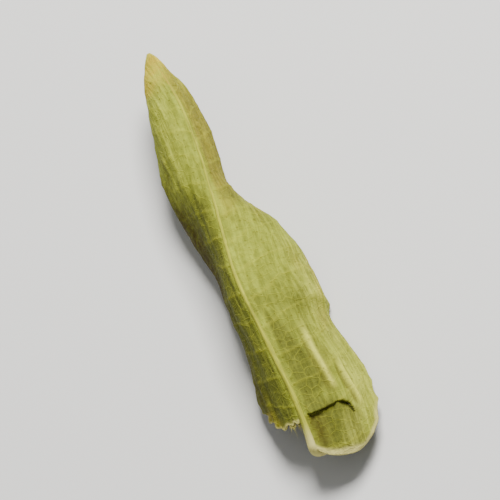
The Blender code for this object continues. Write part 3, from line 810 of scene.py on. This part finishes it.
class Tree:
    """Short way to add nodes to a node tree and to link them."""

    def __init__(self, tree):
        self.tree = tree

    def add(self, kind, values=None, **settings):
        """Adds a node, sets its properties, and sets or links its inputs by name or number."""
        node = self.tree.nodes.new(kind)
        for name, value in settings.items():
            setattr(node, name, value)
        for key, value in (values or {}).items():
            self.put(node.inputs[key], value)
        return node

    def put(self, socket, value):
        """Links an output socket to an input socket, or sets the input's own value."""
        if isinstance(value, bpy.types.NodeSocket):
            self.tree.links.new(value, socket)
        else:
            socket.default_value = value

    def mix(self, share, first, second, blend="MIX"):
        """A colour between two colours."""
        values = {"Factor": share, 6: first, 7: second}
        return self.add("ShaderNodeMix", values, data_type="RGBA", blend_type=blend).outputs[2]

    def layers(self, colour, *layers):
        """A colour with layers laid over it, each given as a pattern, its weight and its own colour."""
        for pattern, weight, tint in layers:
            colour = self.mix(self.times(pattern, weight), colour, tint)
        return colour

    def shade(self, colour, value):
        """A colour times a value."""
        grey = self.add("ShaderNodeCombineColor", {0: value, 1: value, 2: value}).outputs[0]
        return self.mix(1.0, colour, grey, "MULTIPLY")

    def math(self, operation, *values, clamp=False):
        """One sum on values."""
        return self.add("ShaderNodeMath", dict(enumerate(values)), operation=operation, use_clamp=clamp).outputs[0]

    def times(self, value, factor):
        """A value times another."""
        return self.math("MULTIPLY", value, factor)

    def vector(self, operation, first, second):
        """One sum on vectors."""
        return self.add("ShaderNodeVectorMath", {0: first, 1: second}, operation=operation).outputs[0]

    def rise(self, value, low, high, to_low=0.0, to_high=1.0):
        """Carries a value from one range to another along an eased curve."""
        values = {"Value": value, "From Min": low, "From Max": high, "To Min": to_low, "To Max": to_high}
        return self.add("ShaderNodeMapRange", values, interpolation_type="SMOOTHSTEP").outputs["Result"]

    def mask(self, name):
        """One of the piece's own masks."""
        return self.add("ShaderNodeAttribute", attribute_name=name).outputs["Fac"]

    def scaled(self, place, scale):
        """A place times a scale of its own in each direction."""
        return self.add("ShaderNodeMapping", {"Vector": place, "Scale": scale}).outputs["Vector"]

    def flat(self, scale=(1, 1, 1)):
        """Place on the flat leaf in millimetres, times a scale."""
        place = self.add("ShaderNodeUVMap", uv_map="flat_leaf").outputs["UV"]
        return self.scaled(place, tuple(UV_SPAN * s for s in scale))

    def noise(self, place, scale, detail, rough=0.55, distort=0.0):
        """Noise from 0 to 1."""
        values = {"Vector": place, "Scale": scale, "Detail": detail, "Roughness": rough, "Distortion": distort}
        return self.add("ShaderNodeTexNoise", values).outputs["Fac"]

    def cells(self, place, scale, feature, spread=0.95):
        """Cells round scattered points, or their edges."""
        values = {"Vector": place, "Scale": scale, "Randomness": spread}
        return self.add("ShaderNodeTexVoronoi", values, voronoi_dimensions="2D", feature=feature).outputs

    def channel(self, colour, name):
        """One channel of a colour."""
        return self.add("ShaderNodeSeparateColor", {"Color": colour}).outputs[name]

    def group(self, name, fill, place, outputs, **values):
        """Outputs of the named node group at a place. It is made and filled when it is first asked for."""
        group = bpy.data.node_groups.get(name)
        if group is None:
            group = bpy.data.node_groups.new(name, "ShaderNodeTree")
            group.interface.new_socket(name="Place", in_out="INPUT", socket_type=VECTOR)
            for label, value in values.items():
                group.interface.new_socket(name=label, in_out="INPUT", socket_type=FLOAT).default_value = value
            for label in outputs:
                group.interface.new_socket(name=label, in_out="OUTPUT", socket_type=FLOAT)
            inside = Tree(group)
            fill(inside, inside.add("NodeGroupInput").outputs, inside.add("NodeGroupOutput").inputs)
        return self.add("ShaderNodeGroup", {"Place": place, **values}, node_tree=group).outputs


def fill_tissue(tree, source, target):
    """Leaf tissue: broad mottling, small mottling, long fibres and grain, as values from 0 to 1."""
    place = source["Place"]
    stretched = tree.scaled(place, (3.2, 0.30, 1.0))
    tree.put(target["Broad"], tree.rise(tree.noise(place, 0.28, 4.0, 0.6, 0.6), 0.32, 0.68))
    tree.put(target["Small"], tree.rise(tree.noise(place, 1.7, 4.0, 0.65, 0.3), 0.30, 0.70))
    tree.put(target["Fibres"], tree.rise(tree.noise(stretched, 1.0, 4.0, 0.6, 0.2), 0.30, 0.70))
    tree.put(target["Grain"], tree.noise(place, 14.0, 3.0, 0.6))


def fill_net(tree, source, target):
    """Net of small veins: two Voronoi meshes of cells, as a height that is 1 on a vein, and the cells' own tone."""
    coarse, fine = 1.15, 3.1
    warp = tree.add("ShaderNodeTexNoise", {"Vector": source["Place"], "Scale": 1.2, "Detail": 2.0}).outputs["Color"]
    shifted = tree.vector("MULTIPLY", tree.vector("SUBTRACT", warp, (0.5, 0.5, 0.5)), (0.5, 0.5, 0.0))
    place = tree.vector("ADD", source["Place"], shifted)
    large, small = (
        tree.rise(tree.cells(place, scale, "DISTANCE_TO_EDGE")["Distance"], width, 0.0)
        for scale, width in ((coarse, 0.075), (fine, 0.11)))
    tree.put(target["Net"], tree.math("MAXIMUM", large, tree.times(small, 0.5)))
    tree.put(target["Cells"], tree.channel(tree.cells(place, fine, "F1")["Color"], "Red"))


def fill_dots(tree, source, target):
    """Oil glands: small round dots scattered evenly, as a mask."""
    near = tree.cells(source["Place"], source["Density"], "F1", 0.85)
    size = tree.times(source["Size"], tree.rise(tree.channel(near["Color"], "Green"), 0.25, 0.9))
    tree.put(target["Dots"], tree.rise(near["Distance"], tree.times(size, 1.7), tree.times(size, 0.6)))


class Surface(Tree):
    """A new material with a short way to its nodes, and the leaf's own patterns on it."""

    def __init__(self, name):
        self.material = bpy.data.materials.new(name)
        self.material.use_nodes = True
        super().__init__(self.material.node_tree)

    def tissue(self):
        """Mottling, fibres and grain."""
        return self.group("leaf_tissue", fill_tissue, self.flat(), ("Broad", "Small", "Fibres", "Grain"))

    def net_and_dots(self):
        """The net of small veins, the tone of its cells and the oil glands."""
        net = self.group("vein_net", fill_net, self.flat(), ("Net", "Cells"))
        dots = self.group("gland_dots", fill_dots, self.flat(), ("Dots",), Density=1.5, Size=0.12)
        return net["Net"], net["Cells"], dots["Dots"]

    def finish(self, colour, roughness, specular=0.5, relief=(), strength=0.8):
        """Puts the colour, the roughness and the specular level into the shader, with a relief that is the sum of
        patterns times their weights, and gives the material."""
        shader = self.tree.nodes["Principled BSDF"].inputs
        self.put(shader["Base Color"], colour)
        self.put(shader["Roughness"], roughness)
        self.put(shader["Specular IOR Level"], specular)
        height = 0.0
        for pattern, weight in relief:
            height = self.math("MULTIPLY_ADD", pattern, weight, height)
        if relief:
            bump = self.add("ShaderNodeBump", {"Height": height, "Strength": strength, "Distance": BUMP_DISTANCE})
            self.put(shader["Normal"], bump.outputs["Normal"])
        return self.material


def tints(colours, *names):
    """Colour properties as four numbers each."""
    return [(*getattr(colours, name), 1.0) for name in names]


def underside_material(colours):
    """Dull underside: pale grey-green and olive mottled together, bleached, straw and brown where the masks say, with
    the olive and brown partly painted shade and the bleached partly painted highlight, yellow veins, a fine net of
    small veins, painted highlights on the sharp creases' crests, oil glands, long fibres, a bleached rim and a cream
    rim that is partly painted highlight."""
    leaf = Surface("dried_underside")
    tissue, (net, cells, dots) = leaf.tissue(), leaf.net_and_dots()
    pale, olive, straw, bleached, brown, vein, crest, cream = tints(
        colours, "pale", "olive", "straw", "bleached", "brown", "vein", "crest", "cream")
    # The olive mask brings olive tone and painted shade.
    share = leaf.math("MULTIPLY_ADD", tissue["Broad"], 0.35, leaf.mask("olive"), clamp=True)
    # Painted highlight, with the pale rims, from the pale mask.
    highlight_and_rim_bleach = leaf.times(leaf.mask("pale"), leaf.rise(tissue["Fibres"], 0.1, 0.9, 0.45, 1.0))
    tan = leaf.times(leaf.mask("straw"), leaf.rise(tissue["Small"], 0.1, 0.9, 0.65, 1.0))
    # The brown mask brings bruises, a brown margin and painted shade.
    bruise = leaf.times(leaf.mask("brown"), leaf.rise(tissue["Small"], 0.0, 1.0, 0.55, 1.0))
    colour = leaf.layers(
        pale, (share, 1, olive), (tissue["Small"], 0.30, olive), (highlight_and_rim_bleach, 0.75, bleached), (tan, 1, straw))
    colour = leaf.shade(colour, leaf.rise(tissue["Fibres"], 0.0, 1.0, 0.76, 1.17))
    colour = leaf.shade(colour, leaf.rise(cells, 0.0, 1.0, 0.94, 1.06))
    colour = leaf.layers(
        # The ridge mask lays the crest colour as a painted highlight.
        colour, (net, 0.22, vein), (leaf.mask("vein"), 0.22, vein), (leaf.mask("ridge"), 0.9, crest),
        (bruise, 1, brown), (dots, 0.28, brown), (leaf.mask("rim"), 0.75, bleached), (leaf.mask("cream"), 1, cream))
    roughness = leaf.rise(tissue["Grain"], 0.2, 0.8, 0.58, 0.78)
    relief = (tissue["Fibres"], 0.7), (net, 0.8), (tissue["Grain"], 0.35), (dots, -0.8)
    return leaf.finish(colour, roughness, 0.05, relief)


def upper_side_material(colours):
    """Upper side: dark olive green with a dull gloss, lighter sunk veins, oil glands and a wrinkled grain."""
    leaf = Surface("dried_upper_side")
    tissue, (net, _, dots) = leaf.tissue(), leaf.net_and_dots()
    upper, dark, straw, brown, vein = tints(colours, "upper", "upper_dark", "straw", "brown", "vein")
    colour = leaf.layers(
        dark, (tissue["Broad"], 1, upper), (tissue["Small"], 0.35, upper), (leaf.mask("straw"), 0.55, straw),
        # The brown mask brings its bruises and its painted shade onto this side too.
        (leaf.mask("brown"), 0.7, brown), (net, 0.10, vein), (leaf.mask("vein"), 0.22, vein), (dots, 0.5, dark),
        (leaf.mask("rim"), 0.45, straw))
    roughness = leaf.rise(tissue["Small"], 0.1, 0.9, 0.38, 0.56)
    relief = (tissue["Small"], 0.8), (net, -0.7), (tissue["Grain"], 0.30), (dots, 0.6)
    return leaf.finish(colour, roughness, 0.45, relief)


def midrib_material(colours):
    """Midrib and stalk: yellow with olive strands, straw at the tip, cream at its foot and on the stalk, the foot's
    cream partly painted highlight, brown in the furrows and on the scar."""
    rib = Surface("dried_midrib")
    tissue = rib.tissue()
    vein, straw, brown, olive, cream = tints(colours, "vein", "straw", "brown", "olive", "cream")
    strands = rib.noise(rib.flat((5.0, 0.35, 1.0)), 1.0, 3.0, 0.6)
    colour = rib.layers(
        vein, (rib.rise(tissue["Broad"], 0.0, 1.0, 0.0, 0.5), 1, olive), (rib.mask("straw"), 1, straw),
        (rib.rise(strands, 0.62, 0.35), 0.45, olive), (rib.mask("cream"), 1, cream), (rib.mask("furrow"), 1, brown),
        (rib.mask("scar"), 1, brown))
    roughness = rib.rise(tissue["Grain"], 0.2, 0.8, 0.58, 0.78)
    return rib.finish(colour, roughness, 0.18, ((tissue["Grain"], 0.35), (strands, 1.2)), 0.7)


def fibre_material(colours):
    """Bleached fibres that stand out of the torn edges."""
    fibre = Surface("torn_fibres")
    tissue = fibre.tissue()
    colour = fibre.mix(tissue["Small"], *tints(colours, "bleached", "straw"))
    return fibre.finish(colour, fibre.rise(tissue["Grain"], 0.2, 0.8, 0.6, 0.8))


def floor_material(colours):
    """Pale matt surface with a barely visible mottle."""
    floor = Surface("pale_floor")
    place = floor.add("ShaderNodeTexCoord").outputs["Object"]
    tone = floor.rise(floor.noise(place, 60.0, 2.0), 0.0, 1.0)
    dim = (*(0.985 * c for c in colours.floor), 1.0)
    return floor.finish(floor.mix(tone, dim, *tints(colours, "floor")), 0.85, 0.2)


def shared(name, make, colours):
    """The named material, made when it is first asked for."""
    return bpy.data.materials.get(name) or make(colours)


# --- Midrib, stalk and fibres ---

def midrib_path(form):
    """Centres, sideways and upward directions, places along the leaf and the stalk's part of the way, from the stalk's
    end to the tip."""
    along = FIRST_SHARE * form.length + (RIB_END - FIRST_SHARE) * form.length * np.linspace(0, 1, RIB_ROWS)
    centre, ahead, side, above = form.half_sheet(along, np.zeros(RIB_ROWS), RIGHT)
    part = (np.arange(STALK_ROWS) + 0.5) / STALK_ROWS
    droop = np.radians(STALK_DROOP[0] * ease(part, 0, 0.25) + (STALK_DROOP[1] - STALK_DROOP[0]) * part)[:, None]
    heading = unit(STALK_LEAN * part[:, None] * side[0] - np.cos(droop) * ahead[0] - np.sin(droop) * above[0])
    stalk = centre[0] + np.cumsum(heading * form.stalk_length / STALK_ROWS, axis=0)
    stalk_side = unit(side[0] - (heading @ side[0])[:, None] * heading)
    stalk_up = np.cross(heading, stalk_side)

    def joined(stalk_values, rib_values):
        """The stalk's values from its end upwards, and then the midrib's."""
        return np.concatenate([stalk_values[::-1], rib_values])

    along = joined(-part * form.stalk_length, along)
    part = joined(part, np.zeros(RIB_ROWS))
    return joined(stalk, centre), joined(stalk_side, side), joined(stalk_up, above), along, part


def midrib_mesh(form):
    """A tube that is a low arch over the blade and a round stalk below it: sideways it is a sine and upwards a
    cosine of the angle, each times its own half-width, with shallow furrows along it and a scar at its end."""
    centre, side, up, along, part = midrib_path(form)
    share = np.clip(along / form.length, 0, 1)
    roundness = ease(along, 1.6, -0.3)
    arch = 1 - roundness
    half = form.rib_width * (1 - 0.60 * share**0.8) * arch + form.stalk_radius * roundness
    half = half * (1 + STALK_GROWTH * part**2) * ease(share, 1.04, 0.90)
    height = form.rib_height * (1 - 0.75 * share**0.7) * ease(share, 1.03, 0.90) * arch + half * roundness
    buried = RIB_BURIED * arch
    sink = 0.08 * arch + half * roundness
    angle = (2 * np.pi * np.arange(RIB_AROUND) / RIB_AROUND)[None]
    furrow = crinkle(angle / (2 * np.pi) * 9, along[:, None] * 0.35, 101, 2)
    furrow = furrow * ease(angle, 0, 0.5) * ease(angle, 2 * np.pi, 2 * np.pi - 0.5)
    knobs = noise(along[:, None] * 1.7, np.cos(angle) * 2, 103)
    relief = 1 + (0.05 + 0.08 * roundness[:, None]) * furrow + 0.05 * knobs * (0.6 + roundness[:, None])
    tall = np.where(np.cos(angle) > 0, (height + buried)[:, None], sink[:, None])
    profile = side[:, None] * (half[:, None] * np.sin(angle) * relief)[..., None]
    profile = profile + up[:, None] * (tall * np.cos(angle) * relief)[..., None]
    lifted = centre + up * ((form.thickness / 2) * arch - buried)[:, None]
    rings = lifted[:, None] + profile
    shrink = np.linspace(0.86, 0.12, CAP_RINGS)[::-1]
    inset = CAP_DEPTH * np.sin(np.linspace(0.15, 1, CAP_RINGS) * np.pi / 2)[::-1]
    middle = rings[0].mean(0)
    inward = unit(centre[1] - centre[0])
    cap = middle + (rings[0] - middle)[None] * shrink[:, None, None] + inward * inset[:, None, None]
    rings = np.concatenate([cap, rings])
    points = np.concatenate([rings.reshape(-1, 3), rings[0].mean(0)[None], rings[-1].mean(0)[None]])
    triangles = np.concatenate([halves_of(ring_cells(len(rings), RIB_AROUND)), end_caps(len(rings), RIB_AROUND)])
    triangles = outward(points, triangles)

    def spread(values, at_cap=None):
        """Spreads values of the path or of its rings' points over all points, with the cap's own value."""
        values = np.broadcast_to(values.T, (RIB_AROUND, len(along))).T
        first = np.repeat(values[:1], CAP_RINGS, 0)
        values = np.concatenate([first if at_cap is None else np.full_like(first, at_cap), values])
        return np.concatenate([values.ravel(), values[0, :1], values[-1, :1]])

    masks = {
        "straw": spread(np.maximum(ease(share, 0.80, 0.97), 0.10 * roundness + 0.55 * ease(part, 0.25, 0.9))),
        "furrow": spread(np.clip(-furrow - 0.15, 0, 1) * (0.25 + 0.3 * roundness[:, None])),
        # Cream at the foot, partly painted highlight.
        "cream": spread(0.75 * ease(along, 2.2, 0.4)),
        "scar": spread(bell(part, 1.02, 0.06) * (part > 0) * 0.9, 0.9),
    }
    u, v = (values[triangles] for values in flat_uv(spread(angle * RIB_UNROLLED), spread(along)))
    seam = (u.max(1) - u.min(1) > SEAM_SPAN)[:, None] & (u < SEAM_EDGE)
    uv = np.stack([u + 2 * np.pi * RIB_UNROLLED / UV_SPAN * seam, v], axis=-1)
    return settled(points), triangles, masks, uv


def fibre_mesh(form):
    """Thin tapered fibres along the left half's torn base: each a bent line with a ring of points round each step."""
    rng = np.random.default_rng(131)
    share = np.full(FIBRES, STARTS_AT[LEFT] + FIBRE_ROOT)
    out = np.sort(rng.uniform(0.2, 1.0, FIBRES))
    along, across = form.flat_place(share, out, LEFT)
    start, ahead, further, _ = form.half_sheet(along, across, LEFT)
    aim = unit(-ahead + 0.4 * further * rng.normal(0.2, 0.7, (FIBRES, 1)) + rng.normal(0, 0.2, (FIBRES, 3)))
    bend = rng.normal(0, 0.8, (FIBRES, 3))
    reach = rng.uniform(0.12, 0.70, FIBRES)[:, None, None]
    t = np.linspace(-0.5, 1, FIBRE_STEPS)[None, :, None]
    line = start[:, None] + aim[:, None] * t * reach + bend[:, None] * t * np.abs(t) * reach * 0.5
    tangent = unit(np.gradient(line, axis=1))
    first = unit(np.cross(tangent, np.array([0.3, 0.2, 1.0])))
    second = np.cross(tangent, first)
    angle = (2 * np.pi * np.arange(FIBRE_AROUND) / FIBRE_AROUND)[:, None]
    radius = rng.uniform(0.012, 0.030, FIBRES)[:, None] * (1 - 0.8 * np.clip(t[0, :, 0], 0, 1)[None, :])
    ring = first[:, :, None] * np.cos(angle) + second[:, :, None] * np.sin(angle)
    rings = line[:, :, None] + ring * radius[:, :, None, None]
    points = np.concatenate([rings.reshape(FIBRES, -1, 3), line[:, :1], line[:, -1:]], axis=1)
    one = np.concatenate([
        halves_of(ring_cells(FIBRE_STEPS, FIBRE_AROUND)), end_caps(FIBRE_STEPS, FIBRE_AROUND)])
    one = outward(points[0], one)
    triangles = (one[None] + points.shape[1] * np.arange(FIBRES)[:, None, None]).reshape(-1, 3)
    points = points.reshape(-1, 3)
    return settled(points), triangles, points[triangles][..., :2] / UV_SPAN + 0.5


# --- Operators ---

class CURRYLEAF_OT_blade(Operator):
    """Makes the folded blade with its veins, wrinkles, toothed margin and tear"""

    bl_idname = "curry_leaf.blade"
    bl_label = "Blade"

    def execute(self, context):
        colours = context.scene.curry_leaf_colours
        points, triangles, inner, masks, uv = blade_mesh(LeafForm(context.scene.curry_leaf_sizes))
        materials = [
            shared("dried_underside", underside_material, colours),
            shared("dried_upper_side", upper_side_material, colours),
        ]
        add_piece("blade", points, triangles, materials, uv, inner, masks)
        return {"FINISHED"}


class CURRYLEAF_OT_midrib(Operator):
    """Makes the raised midrib with the short hooked stalk"""

    bl_idname = "curry_leaf.midrib"
    bl_label = "Midrib and stalk"

    def execute(self, context):
        colours = context.scene.curry_leaf_colours
        points, triangles, masks, uv = midrib_mesh(LeafForm(context.scene.curry_leaf_sizes))
        materials = [shared("dried_midrib", midrib_material, colours)]
        add_piece("midrib_and_stalk", points, triangles, materials, uv, masks=masks)
        return {"FINISHED"}


class CURRYLEAF_OT_fibres(Operator):
    """Makes the fibres that stand out of the torn base"""

    bl_idname = "curry_leaf.fibres"
    bl_label = "Torn fibres"

    def execute(self, context):
        colours = context.scene.curry_leaf_colours
        points, triangles, uv = fibre_mesh(LeafForm(context.scene.curry_leaf_sizes))
        add_piece("torn_fibres", points, triangles, [shared("torn_fibres", fibre_material, colours)], uv)
        return {"FINISHED"}


def aimed(towards, up, place):
    """A placing at a point that looks back along a direction, with its top towards up."""
    right = Vector(up).cross(towards).normalized()
    return Matrix.Translation(place) @ Matrix((right, towards.cross(right), towards)).transposed().to_4x4()


def area_light(name, kind, power, view, target):
    """A square soft light, placed from the camera's view at a distance from the target."""
    parts, distance, size, colour = kind
    light = bpy.data.lights.new(name, "AREA")
    light.energy, light.size, light.color = power, size, colour
    direction = sum((part * axis for part, axis in zip(parts, view)), Vector()).normalized()
    new_object(name, light).matrix_world = aimed(direction, (0, 1, 0), target + direction * distance)


class CURRYLEAF_OT_stage(Operator):
    """Makes the pale floor, the soft lights and the camera"""

    bl_idname = "curry_leaf.stage"
    bl_label = "Stage"

    def execute(self, context):
        scene, stage = context.scene, context.scene.curry_leaf_stage
        mesh = bpy.data.meshes.new("floor")
        corners = [(x * FLOOR_HALF, y * FLOOR_HALF, 0) for x, y in ((-1, -1), (1, -1), (1, 1), (-1, 1))]
        mesh.from_pydata(corners, [], [(0, 1, 2, 3)])
        mesh.materials.append(shared("pale_floor", floor_material, scene.curry_leaf_colours))
        floor = new_object("floor", mesh)

        middle = Vector((LOW + HIGH) / 2)
        towards = Vector(TOWARDS_CAMERA).normalized()
        right = Vector(PICTURE_UP).cross(towards).normalized()
        view = right, towards.cross(right), towards
        area_light("key_light", KEY_LIGHT, stage.key_power, view, middle)
        area_light("fill_light", FILL_LIGHT, stage.fill_power, view, middle)
        world = bpy.data.worlds.new("plain_sky")
        world.use_nodes = True
        sky = world.node_tree.nodes["Background"]
        sky.inputs["Color"].default_value = (1.0, 1.0, 1.0, 1.0)
        sky.inputs["Strength"].default_value = stage.sky
        scene.world = world

        data = bpy.data.cameras.new("camera")
        data.sensor_width = data.sensor_height = SENSOR
        data.lens = SENSOR * stage.camera_distance / stage.frame_height
        data.clip_start, data.clip_end = 0.01, 10
        camera = new_object("camera", data)
        camera.matrix_world = aimed(towards, PICTURE_UP, middle + towards * stage.camera_distance)
        scene.camera = camera
        return {"FINISHED"}


class CURRYLEAF_PT_panel(Panel):
    """Sizes, colours and pieces of the leaf"""

    bl_idname = "CURRYLEAF_PT_panel"
    bl_label = "Curry leaf"
    bl_space_type = "VIEW_3D"
    bl_region_type = "UI"
    bl_category = "Curry leaf"

    def draw(self, context):
        layout, scene = self.layout, context.scene
        for group, kind in GROUPS.items():
            box = layout.box()
            box.label(text=kind.__doc__)
            for name in kind.__annotations__:
                box.prop(getattr(scene, group), name)
        column = layout.column(align=True)
        for operator in OPERATORS:
            column.operator(operator.bl_idname)


GROUPS = {
    "curry_leaf_sizes": LeafSizes,
    "curry_leaf_colours": LeafColours,
    "curry_leaf_stage": LeafStage,
}
OPERATORS = (CURRYLEAF_OT_stage, CURRYLEAF_OT_blade, CURRYLEAF_OT_midrib, CURRYLEAF_OT_fibres)
CLASSES = (*GROUPS.values(), *OPERATORS, CURRYLEAF_PT_panel)


def register():
    """Makes the classes and the scene's properties known."""
    for item in CLASSES:
        bpy.utils.register_class(item)
    for name, group in GROUPS.items():
        setattr(bpy.types.Scene, name, PointerProperty(type=group))


def unregister():
    """Takes the properties and the classes away again."""
    for name in GROUPS:
        delattr(bpy.types.Scene, name)
    for item in reversed(CLASSES):
        bpy.utils.unregister_class(item)


def main():
    """Registers the classes and makes the stage and the pieces in order."""
    register()
    for operator in (
        bpy.ops.curry_leaf.stage,
        bpy.ops.curry_leaf.blade,
        bpy.ops.curry_leaf.midrib,
        bpy.ops.curry_leaf.fibres,
    ):
        operator()
    bpy.context.view_layer.update()
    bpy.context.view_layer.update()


if __name__ == "__main__":
    main()
